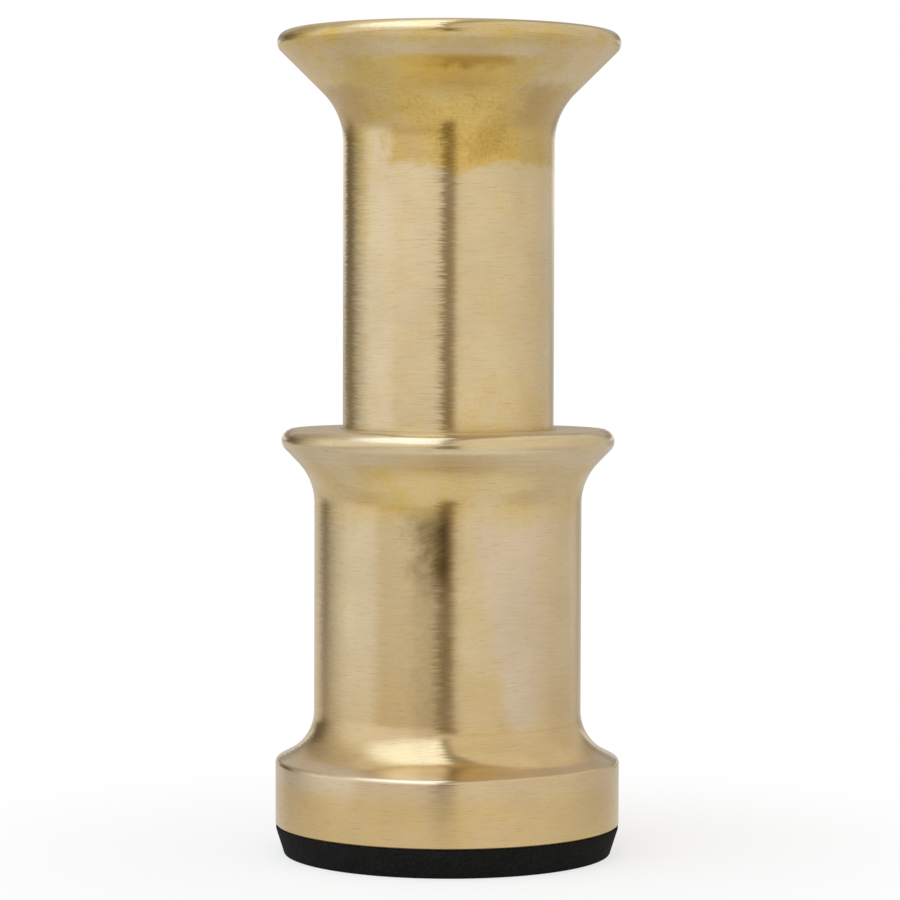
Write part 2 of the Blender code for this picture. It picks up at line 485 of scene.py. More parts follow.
class Graph:
    """Short ways to add nodes to a tree. A value is a number, colour, vector or another node's output."""

    def __init__(self, tree):
        self.tree = tree

    def put(self, socket, value):
        if isinstance(value, bpy.types.NodeSocket):
            self.tree.links.new(value, socket)
        elif socket.type == "RGBA":
            socket.default_value = (*value, 1.0)
        else:
            socket.default_value = value

    def fill(self, sockets, values):
        for socket, value in zip(sockets, values):
            self.put(socket, value)

    def add(self, kind, inputs=None, **settings):
        node = self.tree.nodes.new(kind)
        for name, value in settings.items():
            setattr(node, name, value)
        for name, value in (inputs or {}).items():
            self.put(node.inputs[name], value)
        return node

    def math(self, operation, *values, clamp=False):
        node = self.add("ShaderNodeMath", operation=operation, use_clamp=clamp)
        self.fill(node.inputs, values)
        return node.outputs["Value"]

    def product(self, first, *others):
        """Several numbers multiplied together."""
        for other in others:
            first = self.math("MULTIPLY", first, other)
        return first

    def vector(self, operation, *values):
        node = self.add("ShaderNodeVectorMath", operation=operation)
        self.fill(node.inputs, values)
        return node.outputs["Value" if operation == "LENGTH" else "Vector"]

    def scaled(self, vector, factor):
        inputs = {"Vector": vector, "Scale": factor}
        return self.add("ShaderNodeVectorMath", inputs, operation="SCALE").outputs["Vector"]

    def split(self, vector):
        node = self.add("ShaderNodeSeparateXYZ", {"Vector": vector})
        return node.outputs["X"], node.outputs["Y"], node.outputs["Z"]

    def join(self, x, y, z):
        return self.add("ShaderNodeCombineXYZ", {"X": x, "Y": y, "Z": z}).outputs["Vector"]

    def noise(self, vector, scale, detail, fourth=None):
        """Noise from 0 to 1, as a number and as a colour, in three dimensions or with a fourth."""
        inputs = {"Vector": vector, "Scale": scale, "Detail": detail}
        if fourth is None:
            return self.add("ShaderNodeTexNoise", inputs, noise_dimensions="3D").outputs
        return self.add("ShaderNodeTexNoise", {**inputs, "W": fourth}, noise_dimensions="4D").outputs

    def swing(self, vector, scale, detail):
        """Noise that swings about 0."""
        return self.math("SUBTRACT", self.noise(vector, scale, detail)["Fac"], NOISE_MIDDLE)

    def use(self, group, inputs=None):
        """The outputs of a node group."""
        return self.add("ShaderNodeGroup", inputs, node_tree=bpy.data.node_groups[group]).outputs

    def smooth(self, value, start, end):
        """A soft step from 0 at start to 1 at end."""
        inputs = {"Value": value, "From Min": start, "From Max": end}
        return self.add("ShaderNodeMapRange", inputs, interpolation_type="SMOOTHSTEP").outputs["Result"]

    def within(self, value, stretch):
        """The share of a stretch between two soft edges."""
        return self.product(*[self.smooth(value, *edge) for edge in stretch])

    def between(self, share, first, second):
        """A plain blend of two numbers."""
        inputs = {"Value": share, "To Min": first, "To Max": second}
        return self.add("ShaderNodeMapRange", inputs).outputs["Result"]

    def blend(self, share, first, second):
        """A blend of two colours."""
        node = self.add("ShaderNodeMix", data_type="RGBA")
        self.fill((node.inputs[0], node.inputs[6], node.inputs[7]), (share, first, second))
        return node.outputs[2]

    def ramp(self, value, stops):
        """A run of colours by position from 0 to 1."""
        node = self.add("ShaderNodeValToRGB", {"Fac": value})
        elements = node.color_ramp.elements
        while len(elements) < len(stops):
            elements.new(1.0)
        for element, (position, colour) in zip(elements, stops):
            element.position = position
            element.color = (*colour, 1.0)
        return node.outputs["Color"]


def new_group(name, inputs, outputs):
    """A node group with named inputs, each with its usual value, and named outputs, each with its kind.

    Returns its graph, the outputs of its inlet and the inputs of its outlet.
    """
    group = bpy.data.node_groups.new(name, "ShaderNodeTree")
    for title, value in inputs.items():
        kind = "NodeSocketVector" if isinstance(value, tuple) else "NodeSocketFloat"
        group.interface.new_socket(title, in_out="INPUT", socket_type=kind).default_value = value
    for title, kind in outputs.items():
        group.interface.new_socket(title, in_out="OUTPUT", socket_type="NodeSocket" + kind)
    graph = Graph(group)
    return graph, graph.add("NodeGroupInput").outputs, graph.add("NodeGroupOutput").inputs


def lathe_position_group():
    """Where a point lies on a turned piece, in millimetres and degrees, and the direction of turning."""
    outputs = {
        "Place": "Vector",
        "Radius": "Float",
        "Height": "Float",
        "Azimuth": "Float",
        "Around": "Vector",
    }
    graph, _, outlet = new_group("lathe_position", {}, outputs)
    place = graph.scaled(graph.add("ShaderNodeTexCoord").outputs["Object"], MM_PER_METRE)
    x, y, z = graph.split(place)
    forwards = graph.math("MULTIPLY", y, -1.0)
    graph.put(outlet["Place"], place)
    graph.put(outlet["Radius"], graph.vector("LENGTH", graph.join(x, y, 0.0)))
    graph.put(outlet["Height"], z)
    graph.put(outlet["Azimuth"], graph.math("DEGREES", graph.math("ARCTAN2", x, forwards)))
    graph.put(outlet["Around"], graph.vector("NORMALIZE", graph.join(forwards, x, 0.0)))


def turning_marks_group():
    """Fine marks round a turned piece. The pitch is across them, also on faces square to the axis."""
    inputs = {"Length": 3.0, "Pitch": 0.15, "Sway": 0.3}
    graph, inlet, outlet = new_group("turning_marks", inputs, {"Marks": "Vector", "Level": "Float"})
    spot = graph.use("lathe_position")
    x, y, z = graph.split(spot["Place"])
    sway = graph.swing(spot["Place"], SWAY_SCALE, detail=1.0)
    swayed = graph.math("ADD", z, graph.math("MULTIPLY", sway, inlet["Sway"]))
    stretched = graph.join(
        graph.math("DIVIDE", x, inlet["Length"]),
        graph.math("DIVIDE", y, inlet["Length"]),
        graph.math("DIVIDE", swayed, inlet["Pitch"]),
    )
    outwards = graph.math("DIVIDE", spot["Radius"], inlet["Pitch"])
    marks = graph.noise(stretched, 1.0, detail=2.0, fourth=outwards)
    graph.put(outlet["Marks"], marks["Color"])
    graph.put(outlet["Level"], marks["Fac"])


def brushed_normal_group():
    """The surface's normal, tilted by marks a little round the axis and a little along the outline."""
    inputs = {"Marks": MID_GREY, "Sideways": 0.2, "Along": 0.2}
    graph, inlet, outlet = new_group("brushed_normal", inputs, {"Normal": "Vector"})
    normal = graph.add("ShaderNodeNewGeometry").outputs["Normal"]
    around = graph.use("lathe_position")["Around"]
    outline = graph.vector("CROSS_PRODUCT", normal, around)
    turn, rise, _ = graph.split(graph.vector("SUBTRACT", inlet["Marks"], MID_GREY))
    sideways = graph.scaled(around, graph.math("MULTIPLY", turn, inlet["Sideways"]))
    along = graph.scaled(outline, graph.math("MULTIPLY", rise, inlet["Along"]))
    tilted = graph.vector("ADD", normal, graph.vector("ADD", sideways, along))
    graph.put(outlet["Normal"], graph.vector("NORMALIZE", tilted))


def smudges_group():
    """Soft patches, from 0 to 1."""
    graph, inlet, outlet = new_group("smudges", {"Size": 6.0}, {"Amount": "Float"})
    place = graph.use("lathe_position")["Place"]
    shrunk = graph.scaled(place, graph.math("DIVIDE", 1.0, inlet["Size"]))
    cloud = graph.noise(shrunk, 1.0, detail=4.0)["Fac"]
    graph.put(outlet["Amount"], graph.smooth(cloud, *SMUDGE_EDGE))


def tarnish_group():
    """How far tarnish has come, from 0 to 1: an even amount, broken up by clouds and by fine grain."""
    inputs = {"Even": 0.2, "Clouds": 0.8, "Grain": 0.8}
    graph, inlet, outlet = new_group("tarnish", inputs, {"Amount": "Float"})
    place = graph.use("lathe_position")["Place"]
    cloud = graph.smooth(graph.noise(place, CLOUD_SCALE, detail=5.0)["Fac"], *CLOUD_EDGE)
    clouds = graph.math("SUBTRACT", cloud, NOISE_MIDDLE)
    grain = graph.swing(place, GRAIN_SCALE, detail=3.0)
    cloudy = graph.math("MULTIPLY_ADD", clouds, inlet["Clouds"], inlet["Even"])
    graph.put(outlet["Amount"], graph.math("MULTIPLY_ADD", grain, inlet["Grain"], cloudy, clamp=True))


def scratches_group():
    """Thin, sparse scratches at a slope to the turning marks."""
    inputs = {"Slope": 0.5, "Length": 5.0, "Width": 0.05, "Share": 0.1}
    graph, inlet, outlet = new_group("scratches", inputs, {"Amount": "Float"})
    spot = graph.use("lathe_position")
    girth = graph.math("MULTIPLY", graph.math("RADIANS", spot["Azimuth"]), spot["Radius"])
    along = graph.math("ADD", girth, graph.math("MULTIPLY", spot["Height"], inlet["Slope"]))
    across = graph.math("SUBTRACT", spot["Height"], graph.math("MULTIPLY", girth, inlet["Slope"]))
    lane = graph.join(
        graph.math("DIVIDE", along, inlet["Length"]),
        graph.math("DIVIDE", across, inlet["Width"]),
        graph.math("DIVIDE", spot["Radius"], inlet["Width"]),
    )
    streak = graph.noise(lane, 1.0, detail=0.0)["Fac"]
    limit = graph.math("SUBTRACT", SCRATCH_LIMIT, inlet["Share"])
    graph.put(outlet["Amount"], graph.smooth(streak, limit, graph.math("ADD", limit, SCRATCH_SOFTNESS)))


def specks_group():
    """Small round specks, from 0 to 1, in a share of the cells of a loose pattern."""
    inputs = {"Spacing": 1.5, "Size": 0.06, "Share": 0.1}
    graph, inlet, outlet = new_group("specks", inputs, {"Amount": "Float"})
    place = graph.use("lathe_position")["Place"]
    shrunk = graph.scaled(place, graph.math("DIVIDE", 1.0, inlet["Spacing"]))
    cells = graph.add("ShaderNodeTexVoronoi", {"Vector": shrunk, "Scale": 1.0}).outputs
    reach = graph.math("DIVIDE", inlet["Size"], inlet["Spacing"])
    chosen = graph.math("LESS_THAN", graph.split(cells["Color"])[0], inlet["Share"])
    graph.put(outlet["Amount"], graph.product(chosen, graph.smooth(cells["Distance"], reach, 0.0)))


def ring_group():
    """A narrow ring at one height, from 0 to 1."""
    graph, inlet, outlet = new_group("ring", {"Height": 0.0, "Width": 0.1}, {"Amount": "Float"})
    height = graph.use("lathe_position")["Height"]
    away = graph.math("ABSOLUTE", graph.math("SUBTRACT", height, inlet["Height"]))
    graph.put(outlet["Amount"], graph.smooth(away, inlet["Width"], 0.0))


def make_groups():
    lathe_position_group()
    turning_marks_group()
    brushed_normal_group()
    smudges_group()
    tarnish_group()
    scratches_group()
    specks_group()
    ring_group()


def new_material(name):
    material = bpy.data.materials.new(name)
    material.use_nodes = True
    return material, Graph(material.node_tree), material.node_tree.nodes["Principled BSDF"]


def left_half(graph, azimuth, edge):
    """1 on a piece's left side, from an edge near the front round to the back, where it fades out."""
    return graph.within(azimuth, (edge, LEFT_HALF_BACK_END))


def body_patches(graph, height, azimuth):
    """The shares of a paler patch on the right of the cup's body and of a yellower one left of that."""
    on_body = graph.within(height, BODY_STRETCH)
    drift = graph.math("MULTIPLY", graph.math("SUBTRACT", height, PALE_MIDDLE), PALE_DRIFT)
    right = graph.smooth(graph.math("ADD", azimuth, drift), *PALE_LEFT_EDGE)
    pale = graph.product(on_body, right, graph.smooth(azimuth, *PALE_RIGHT_EDGE))
    left_of_pale = graph.math("SUBTRACT", 1.0, right)
    yellow = graph.product(on_body, graph.smooth(azimuth, *YELLOW_LEFT_EDGE), left_of_pale)
    return pale, yellow


def cup_tarnish(graph, height, azimuth, yellow):
    """The cup's tarnish: most in the cove under its rim, some on its foot and in the yellow patch."""
    heavy = graph.within(azimuth, COVE_HEAVY_STRETCH)
    amount = graph.product(graph.within(height, COVE_STRETCH), graph.between(heavy, *COVE_SHARES))
    on_foot = graph.smooth(height, *FOOT_TARNISH_HEIGHTS)
    amount = graph.math("MULTIPLY_ADD", on_foot, FOOT_TARNISH_SHARE, amount)
    amount = graph.math("MULTIPLY_ADD", yellow, YELLOW_SHARE, amount)
    even = graph.math("SUBTRACT", amount, TARNISH_HELD_BACK)
    return graph.use("tarnish", {"Even": even, **CUP_TARNISH})["Amount"]


def cup_smear_and_reflection(graph, spot, azimuth):
    """The share of a dark smear left of the cup's middle, in short strokes, that thins out downwards. The
    smear is partly a painted reflection of the camera's dark slot.
    """
    height = spot["Height"]
    strokes = graph.use("scratches", SMEAR_AND_REFLECTION_STROKES)["Amount"]
    drift = graph.math("MULTIPLY", graph.math("SUBTRACT", height, SMEAR_AND_REFLECTION_MIDDLE), SMEAR_AND_REFLECTION_DRIFT)
    drift = graph.math("MAXIMUM", drift, SMEAR_AND_REFLECTION_LEAST_DRIFT)
    dense = graph.smooth(height, *SMEAR_AND_REFLECTION_DENSE_HEIGHTS)
    thin_end = graph.smooth(azimuth, *SMEAR_AND_REFLECTION_THIN_RIGHT_EDGE)
    dense_end = graph.smooth(spot["Azimuth"], *SMEAR_AND_REFLECTION_DENSE_RIGHT_EDGE)
    return graph.product(
        graph.smooth(graph.math("ADD", azimuth, drift), *SMEAR_AND_REFLECTION_LEFT_EDGE),
        graph.between(dense, thin_end, dense_end),
        graph.within(height, SMEAR_AND_REFLECTION_STRETCH),
        graph.between(dense, *SMEAR_AND_REFLECTION_SHARES),
        graph.between(strokes, *SMEAR_AND_REFLECTION_STROKE_SHARES),
    )


def cup_lines(graph, azimuth):
    """The share of faint dark lines round the cup: two under its rim and one at the top of its shoulder."""
    lines = graph.use("ring", SHOULDER_LINE)["Amount"]
    lines = graph.product(lines, graph.within(azimuth, SHOULDER_LINE_STRETCH))
    for height in GROOVE_HEIGHTS:
        groove = graph.use("ring", {"Height": height, "Width": GROOVE_WIDTH})["Amount"]
        lines = graph.math("ADD", lines, groove)
    return graph.product(lines, graph.use("smudges", {"Size": LINE_SMUDGE_SIZE})["Amount"], LINE_SHARE)


def cup_colour(graph):
    """Brass, warmer towards the foot, with patches, tarnish, a paler rubbed foot edge that is partly a
    painted highlight, a dark smear that is partly a painted reflection, and faint lines.
    """
    spot = graph.use("lathe_position")
    height = spot["Height"]
    ragged = graph.swing(spot["Place"], CUP_RAGGED_SCALE, detail=4.0)
    azimuth = graph.math("MULTIPLY_ADD", ragged, CUP_RAGGED_TURN, spot["Azimuth"])
    pale, yellow = body_patches(graph, height, azimuth)
    # Paler rubbed foot edge and cone, partly a painted highlight, more on the left side
    wear_and_highlight = graph.between(left_half(graph, azimuth, LEFT_HALF_EDGE), *FOOT_WEAR_AND_HIGHLIGHT_SHARES)
    worn_and_highlighted = graph.product(graph.within(height, FOOT_WEAR_AND_HIGHLIGHT_STRETCH), wear_and_highlight)
    colour = graph.blend(graph.smooth(height, *WARMTH_HEIGHTS), CLEAN_BRASS, WARM_BRASS)
    colour = graph.blend(pale, colour, PALE_BRASS)
    colour = graph.blend(cup_tarnish(graph, height, azimuth, yellow), colour, TARNISHED_BRASS)
    colour = graph.blend(worn_and_highlighted, colour, PALE_BRASS)
    # Dark smear, partly a painted reflection of the camera's dark slot
    colour = graph.blend(cup_smear_and_reflection(graph, spot, azimuth), colour, SMEAR_AND_REFLECTION_COLOUR)
    return graph.blend(cup_lines(graph, azimuth), colour, DARK_BRASS)


class BarrelPlace:
    """A point's place on the barrel, with ragged edges, and its shares of the areas that are tarnished."""

    def __init__(self, graph):
        spot = graph.use("lathe_position")
        ragged = graph.noise(spot["Place"], BARREL_RAGGED_SCALE, detail=5.0)["Color"]
        rise, turn, _ = graph.split(graph.vector("SUBTRACT", ragged, MID_GREY))
        self.true_height = spot["Height"]
        self.height = graph.math("MULTIPLY_ADD", rise, BARREL_RAGGED_HEIGHT, self.true_height)
        self.azimuth = graph.math("MULTIPLY_ADD", turn, BARREL_RAGGED_TURN, spot["Azimuth"])
        self.streak = graph.within(self.azimuth, STREAK_STRETCH)
        self.on_flare = graph.smooth(self.true_height, *FLARE_HEIGHTS)
        left_side = graph.smooth(self.azimuth, *FLARE_LEFT_SIDE)
        self.at_side = graph.math("MAXIMUM", left_side, graph.smooth(self.azimuth, *FLARE_RIGHT_SIDE))
        dropped = graph.math("MULTIPLY_ADD", self.streak, STREAK_DROP, self.height)
        above = graph.smooth(dropped, *TARNISH_LOW_EDGE)
        on_band = graph.within(self.azimuth, BAND_STRETCH)
        self.coated = graph.product(above, graph.math("MAXIMUM", on_band, self.on_flare))
        self.smudges = graph.use("smudges", {"Size": BARREL_SMUDGE_SIZE})["Amount"]


def band_tarnish(graph, azimuth):
    """How much tarnish the band on the tube has: less on its left and right, most right of the middle."""
    amount = graph.between(graph.smooth(azimuth, *BAND_LEFT_PART), *BAND_SHARES)
    heavy = graph.within(azimuth, BAND_HEAVY_STRETCH)
    amount = graph.math("MULTIPLY_ADD", heavy, BAND_HEAVY_SHARE, amount)
    return graph.between(graph.smooth(azimuth, *BAND_RIGHT_END), amount, BAND_RIGHT_END_SHARE)


def flare_tarnish(graph, spot):
    """How much tarnish the flare has: most in a streak near the middle, less further up."""
    amount = graph.math("MULTIPLY_ADD", spot.streak, STREAK_SHARE, FLARE_SHARE)
    return graph.between(graph.smooth(spot.height, *FLARE_PALER_HEIGHTS), amount, FLARE_PALER_SHARE)


def coat_tarnish(graph, spot):
    """How much tarnish the coat under the mouth has: on the band, the flare and the lip."""
    amount = graph.between(spot.on_flare, band_tarnish(graph, spot.azimuth), flare_tarnish(graph, spot))
    high_side = graph.product(spot.at_side, graph.smooth(spot.height, *FLARE_TOP))
    amount = graph.between(high_side, amount, FLARE_SIDE_SHARE)
    amount = graph.between(graph.smooth(spot.height, *TARNISH_HIGH_EDGE), amount, TARNISH_HIGH_SHARE)
    under_lip = graph.product(graph.within(spot.height, LIP_STRETCH), spot.smudges)
    return graph.math("MULTIPLY_ADD", under_lip, LIP_SHARE, amount)


def barrel_tarnish(graph, spot):
    """The barrel's tarnish: a coat under the mouth, a tint on the tube's left and a little at its foot."""
    left = left_half(graph, spot.azimuth, TUBE_FOOT_LEFT_EDGE)
    at_foot = graph.smooth(spot.true_height, *TUBE_FOOT_HEIGHTS)
    bare = graph.product(at_foot, graph.between(left, *TUBE_FOOT_SHARES))
    bare = graph.math("SUBTRACT", bare, TARNISH_HELD_BACK)
    tint = graph.product(
        left_half(graph, spot.azimuth, LEFT_TINT_SIDE),
        graph.smooth(spot.height, *LEFT_TINT_HEIGHTS),
        LEFT_TINT_SHARE,
    )
    even = graph.math("MULTIPLY_ADD", spot.coated, coat_tarnish(graph, spot), bare)
    even = graph.math("MAXIMUM", even, tint)
    return graph.use("tarnish", {"Even": even, **BARREL_TARNISH})["Amount"]


def browned_share(graph, spot):
    """The share of brown in the coat: at the flare's sides, below its top, and at both ends of the band."""
    below_top = graph.smooth(spot.height, *FLARE_TOP[::-1])
    on_flare = graph.product(spot.at_side, below_top, FLARE_BROWNED_SHARE)
    left_part = graph.smooth(spot.azimuth, *BAND_LEFT_PART)
    band_ends = graph.math("MAXIMUM", left_part, graph.smooth(spot.azimuth, *BAND_RIGHT_END))
    on_band = graph.product(band_ends, BAND_BROWNED_SHARE)
    return graph.product(graph.between(spot.on_flare, on_band, on_flare), spot.coated)


def barrel_colour(graph):
    """Brass with tarnish that ends in a ragged edge on the tube, and with a stain below the lip."""
    spot = BarrelPlace(graph)
    below_lip = graph.smooth(spot.true_height, *STAIN_TOP)
    golden = graph.product(
        below_lip,
        graph.smooth(spot.height, *GOLDEN_BOTTOM),
        graph.within(spot.azimuth, GOLDEN_STRETCH),
        GOLDEN_SHARE,
    )
    stain = graph.product(
        below_lip,
        graph.smooth(spot.height, *STAIN_BOTTOM),
        graph.within(spot.azimuth, STAIN_STRETCH),
        graph.between(spot.smudges, *STAIN_SHARES),
    )
    colour = graph.ramp(barrel_tarnish(graph, spot), BARREL_TARNISH_COLOURS)
    colour = graph.blend(browned_share(graph, spot), colour, BROWN_TARNISH)
    colour = graph.blend(golden, colour, GOLDEN_TARNISH)
    return graph.blend(stain, colour, DARK_BRASS)


def marred_colour(graph, colour, patches):
    """A colour shaded by patches and fine lines, and marred by dark pits, scratches and hairlines."""
    lines = graph.use("turning_marks", FINE_LINES)["Level"]
    patch_shade = graph.between(patches, *PATCH_SHADES)
    shade = graph.math("ADD", patch_shade, graph.between(lines, *FINE_LINE_SHADES))
    pits = graph.use("specks", PITS)["Amount"]
    scratches = graph.product(graph.use("scratches", SCRATCHES)["Amount"], SCRATCH_DARKNESS)
    hairlines = graph.product(graph.use("scratches", HAIRLINES)["Amount"], HAIRLINE_DARKNESS)
    scored = graph.math("MAXIMUM", scratches, hairlines)
    marred = graph.math("MAXIMUM", pits, scored, clamp=True)
    return graph.blend(marred, graph.scaled(colour, shade), PIT_COLOUR)


def brass_roughness(graph, roughness, patches):
    """Roughness that varies by patches and is higher on faces square to the axis and under overhangs."""
    rise = graph.split(graph.add("ShaderNodeNewGeometry").outputs["Normal"])[2]
    square = graph.smooth(graph.math("ABSOLUTE", rise), *FACED_RISE)
    faced = graph.product(square, FACED_ROUGHNESS)
    overhung = graph.product(graph.smooth(rise, *OVERHANG_RISE), OVERHANG_ROUGHNESS)
    usual = graph.between(patches, roughness + PATCH_ROUGHNESS, roughness - PATCH_ROUGHNESS)
    return graph.math("ADD", usual, graph.math("MAXIMUM", faced, overhung))


def brushed(graph, brushing_on_left):
    """A normal brushed round the axis, with an amount of its own on the piece's left side."""
    marks = graph.use("turning_marks", BRUSH_MARKS)["Marks"]
    azimuth = graph.use("lathe_position")["Azimuth"]
    on_left = left_half(graph, azimuth, LEFT_HALF_EDGE)
    sideways = graph.between(on_left, BRUSHING_ON_RIGHT, brushing_on_left)
    tilt = {"Marks": marks, "Sideways": sideways, "Along": BRUSHING_ALONG}
    return graph.use("brushed_normal", tilt)["Normal"]


def brass(name, colour_of, roughness, brushing_on_left):
    """Turned brass. Its colour is made by a function of the graph."""
    material, graph, shader = new_material(name)
    patches = graph.use("smudges", {"Size": PATCH_SIZE})["Amount"]
    graph.put(shader.inputs["Base Color"], marred_colour(graph, colour_of(graph), patches))
    graph.put(shader.inputs["Roughness"], brass_roughness(graph, roughness, patches))
    graph.put(shader.inputs["Normal"], brushed(graph, brushing_on_left))
    shader.inputs["Metallic"].default_value = 1.0
    shader.inputs["Anisotropic"].default_value = BRASS_ANISOTROPY
    shader.inputs["Anisotropic Rotation"].default_value = ALONG_THE_AXIS
    return material


def rubber(name):
    """Matt black rubber with a rubbed, paler bloom, fine grain and specks of dust."""
    material, graph, shader = new_material(name)
    grain = graph.noise(graph.use("lathe_position")["Place"], RUBBER_GRAIN_SCALE, detail=3.0)["Fac"]
    bloom = graph.use("smudges", {"Size": RUBBER_BLOOM_SIZE})["Amount"]
    dust = graph.product(graph.use("specks", DUST)["Amount"], DUST_SHARE)
    coarse = graph.smooth(grain, *RUBBER_GRAIN_EDGE)
    mottle = graph.product(coarse, graph.between(bloom, *RUBBER_BLOOM_SHARES))
    colour = graph.blend(mottle, RUBBER_COLOUR, RUBBER_WORN_COLOUR)
    bump = graph.add("ShaderNodeBump", {"Height": grain, **RUBBER_BUMP})
    graph.put(shader.inputs["Base Color"], graph.blend(dust, colour, DUST_COLOUR))
    graph.put(shader.inputs["Roughness"], graph.between(grain, *RUBBER_ROUGHNESS))
    graph.put(shader.inputs["Normal"], bump.outputs["Normal"])
    shader.inputs["Specular IOR Level"].default_value = RUBBER_SPECULAR
    return material


def place(piece, body, node, slot, material):
    """Puts a finished piece on its body, in the place of its plain solid."""
    piece.data.materials.clear()
    piece.data.materials.append(material)
    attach(piece, body)
    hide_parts(node)


def floor_material():
    """Matt floor that turns white away from the object. Brass mirrors it in colours like the tent's foot."""
    material, graph, shader = new_material("floor")
    shader.inputs["Base Color"].default_value = (*FLOOR_COLOUR, 1.0)
    shader.inputs["Roughness"].default_value = FLOOR_ROUGHNESS
    shader.inputs["Specular IOR Level"].default_value = 0.0
    x, y, _ = graph.split(graph.add("ShaderNodeTexCoord").outputs["Object"])
    fade = graph.smooth(graph.vector("LENGTH", graph.join(x, y, 0.0)), FLOOR_FADE_START, FLOOR_RADIUS)
    path = graph.add("ShaderNodeLightPath").outputs
    seen = graph.math("MAXIMUM", path["Is Camera Ray"], path["Is Glossy Ray"])
    share = graph.product(graph.between(fade, FLOOR_WHITE_SHARE, 1.0), seen)
    at_front = graph.smooth(y, *FLOOR_FRONT_PLACE)
    mirrored = graph.blend(at_front, FLOOR_MIRRORED_BACK, FLOOR_MIRRORED_FRONT)
    shown = graph.blend(path["Is Camera Ray"], mirrored, WHITE)
    glow = graph.add("ShaderNodeEmission", {"Color": shown, "Strength": 1.0})
    mix = graph.add("ShaderNodeMixShader")
    graph.fill(mix.inputs, (share, shader.outputs["BSDF"], glow.outputs["Emission"]))
    graph.put(material.node_tree.nodes["Material Output"].inputs["Surface"], mix.outputs["Shader"])
    return material


def make_floor():
    """A pale disc that shows the object's shadow and fades into the white background."""
    bpy.ops.object.select_all(action="DESELECT")
    bpy.ops.mesh.primitive_circle_add(
        vertices=FLOOR_STEPS,
        radius=FLOOR_RADIUS,
        fill_type="NGON",
        location=(0.0, 0.0, -FLOOR_DROP),
    )
    floor = bpy.context.object
    floor.name = "floor"
    floor.data.materials.append(floor_material())


def tent_walls(graph, turn, azimuth, z):
    """Pale walls with dark corners, between the tent's foot and its roof."""
    walls = graph.ramp(turn, [(angle / FULL_TURN + FRONT_TURN, colour) for angle, colour in TENT_WALLS])
    at_front = graph.smooth(graph.math("ABSOLUTE", azimuth), *TENT_FOOT_FRONT_AZIMUTHS)
    foot = graph.blend(at_front, TENT_FOOT_SIDES, TENT_FOOT_FRONT)
    high_corner = graph.product(
        graph.smooth(azimuth, *HIGH_CORNER_AZIMUTHS),
        graph.smooth(z, *HIGH_CORNER_HEIGHTS),
        HIGH_CORNER_SHARE,
    )
    tent = graph.blend(graph.smooth(z, *UPPER_WALL_HEIGHTS), walls, UPPER_WALL_COLOUR)
    tent = graph.blend(high_corner, tent, HIGH_CORNER_COLOUR)
    tent = graph.blend(graph.smooth(z, *TENT_FOOT_HEIGHTS), tent, foot)
    return graph.blend(graph.smooth(z, *ROOF_HEIGHTS), tent, ROOF_COLOUR)


def tent_back(graph, tent, azimuth, z):
    """The tent with a glow behind the object and a dark strip above that."""
    behind = graph.smooth(graph.math("ABSOLUTE", azimuth), *BACK_SIDES)
    glow = graph.product(behind, graph.within(z, BACK_GLOW_STRETCH))
    strip = graph.product(behind, graph.within(z, BACK_STRIP_STRETCH), BACK_STRIP_SHARE)
    tent = graph.blend(glow, tent, BACK_GLOW_COLOUR)
    return graph.blend(strip, tent, BACK_STRIP_COLOUR)


def tent_front(graph, tent, azimuth, z):
    """The tent with a yellower low front, a pale low left and a dark slot for the camera."""
    low = graph.within(z, LOW_STRETCH)
    lowest = graph.product(low, graph.smooth(z, *SLOT_LOWEST_HEIGHTS))
    shifted = graph.math("MULTIPLY_ADD", low, SLOT_LOW_SHIFT, azimuth)
    shifted = graph.math("MULTIPLY_ADD", lowest, SLOT_LOWEST_SHIFT, shifted)
    left_of_edge = graph.smooth(shifted, *SLOT_RIGHT_EDGE)
    in_slot = graph.product(graph.smooth(shifted, *SLOT_LEFT_EDGE), left_of_edge)
    slot = graph.product(in_slot, graph.within(z, SLOT_STRETCH))
    slot_colour = graph.blend(low, SLOT_HIGH_COLOUR, SLOT_LOW_COLOUR)
    low_front = graph.product(graph.smooth(azimuth, *LOW_FRONT_LEFT_EDGE), left_of_edge, low)
    low_left = graph.product(graph.smooth(azimuth, *LOW_LEFT_EDGE), low)
    tent = graph.blend(low_front, tent, LOW_FRONT_COLOUR)
    tent = graph.blend(low_left, tent, LOW_LEFT_COLOUR)
    return graph.blend(slot, tent, slot_colour)


def overhead_lights(graph, tent, x, y, z):
    """The tent with a key light on the left, a panel on the right and a dark gap between them."""
    sideways = graph.math("DIVIDE", x, z)
    backwards = graph.math("DIVIDE", y, z)
    left_line = graph.math("MULTIPLY_ADD", backwards, *GAP_LEFT_LINE)
    right_line = graph.math("MULTIPLY_ADD", backwards, *GAP_RIGHT_LINE)
    right_line = graph.math("MAXIMUM", right_line, GAP_RIGHT_LEAST)
    past_left = graph.math("SUBTRACT", sideways, left_line)
    past_right = graph.math("SUBTRACT", sideways, right_line)
    slanted = graph.math("MULTIPLY_ADD", sideways, KEY_BACK_SLANT, backwards)
    on_panel = graph.smooth(past_right, *GAP_RIGHT_EDGE[::-1])
    panel = graph.product(on_panel, graph.smooth(z, *PANEL_HEIGHTS), PANEL_SHARE)
    gap = graph.product(
        graph.smooth(past_left, *GAP_LEFT_EDGE),
        graph.smooth(past_right, *GAP_RIGHT_EDGE),
        graph.smooth(z, *GAP_HEIGHTS),
        graph.between(graph.smooth(y, *GAP_DEPTHS), *GAP_SHARES),
    )
    key = graph.product(
        graph.smooth(sideways, *KEY_LEFT_EDGE),
        graph.smooth(slanted, *KEY_BACK_END),
        graph.smooth(past_left, *GAP_LEFT_EDGE[::-1]),
        graph.smooth(z, *KEY_HEIGHTS),
    )
    tent = graph.blend(panel, tent, PANEL_COLOUR)
    tent = graph.blend(gap, tent, SLOT_HIGH_COLOUR)
    return graph.blend(key, tent, KEY_COLOUR)


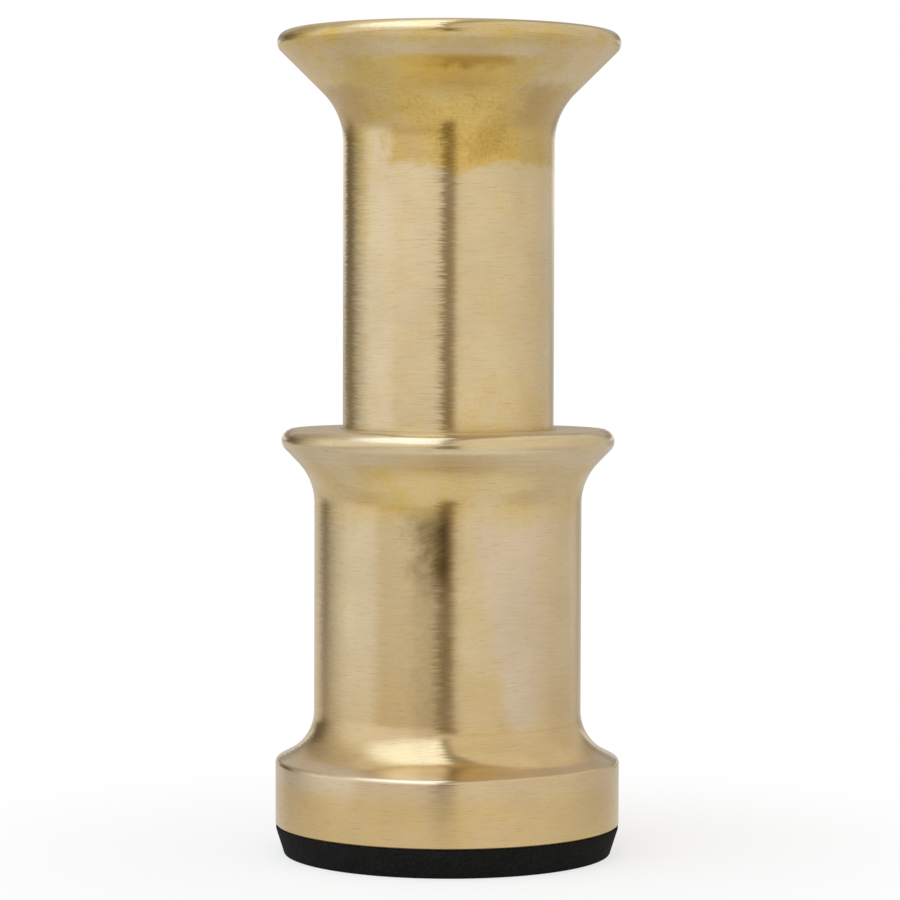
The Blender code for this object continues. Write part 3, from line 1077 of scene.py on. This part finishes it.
def make_world():
    """The light tent, and a white background for the camera."""
    world = bpy.data.worlds.new("light_tent")
    world.use_nodes = True
    world.cycles.sampling_method = "NONE"
    graph = Graph(world.node_tree)
    x, y, z = graph.split(graph.add("ShaderNodeTexCoord").outputs["Generated"])
    around = graph.join(graph.math("MULTIPLY", y, -1.0), x, 0.0)
    turn = graph.add("ShaderNodeTexGradient", {"Vector": around}, gradient_type="RADIAL").outputs["Fac"]
    azimuth = graph.math("MULTIPLY", graph.math("SUBTRACT", turn, FRONT_TURN), FULL_TURN)
    tent = tent_walls(graph, turn, azimuth, z)
    tent = tent_back(graph, tent, azimuth, z)
    tent = tent_front(graph, tent, azimuth, z)
    tent = overhead_lights(graph, tent, x, y, z)
    camera = graph.add("ShaderNodeLightPath").outputs["Is Camera Ray"]
    graph.put(world.node_tree.nodes["Background"].inputs["Color"], graph.blend(camera, tent, WHITE))
    bpy.context.scene.world = world


def make_camera():
    data = bpy.data.cameras.new("camera")
    data.lens = CAMERA_LENS_MM
    data.sensor_width = CAMERA_SENSOR_MM
    data.clip_start = CAMERA_CLIP_START
    camera = bpy.data.objects.new("camera", data)
    camera.location = (CAMERA_SIDE_STEP, -CAMERA_DISTANCE, CAMERA_HEIGHT)
    camera.rotation_euler = (math.radians(90.0 - CAMERA_PITCH), -math.radians(CAMERA_ROLL), 0.0)
    bpy.context.scene.collection.objects.link(camera)
    bpy.context.scene.camera = camera


def main():
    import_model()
    bpy.context.scene.view_settings.view_transform = "Standard"
    make_groups()
    cup_finish = brass("cup_finish", cup_colour, CUP_ROUGHNESS, CUP_BRUSHING_ON_LEFT)
    barrel_finish = brass("barrel_finish", barrel_colour, BARREL_ROUGHNESS, BARREL_BRUSHING_ON_LEFT)
    cup = turned("cup_turning", cup_outline())
    place(cup, "base", "base_cup", "cup_brass", cup_finish)
    barrel = turned("barrel_turning", barrel_outline())
    place(barrel, "barrel", "flared_barrel", "barrel_brass", barrel_finish)
    pad = turned("pad_moulding", pad_outline())
    place(pad, "base", "foot_pad", "pad_rubber", rubber("black_rubber"))
    make_floor()
    make_world()
    make_camera()


main()
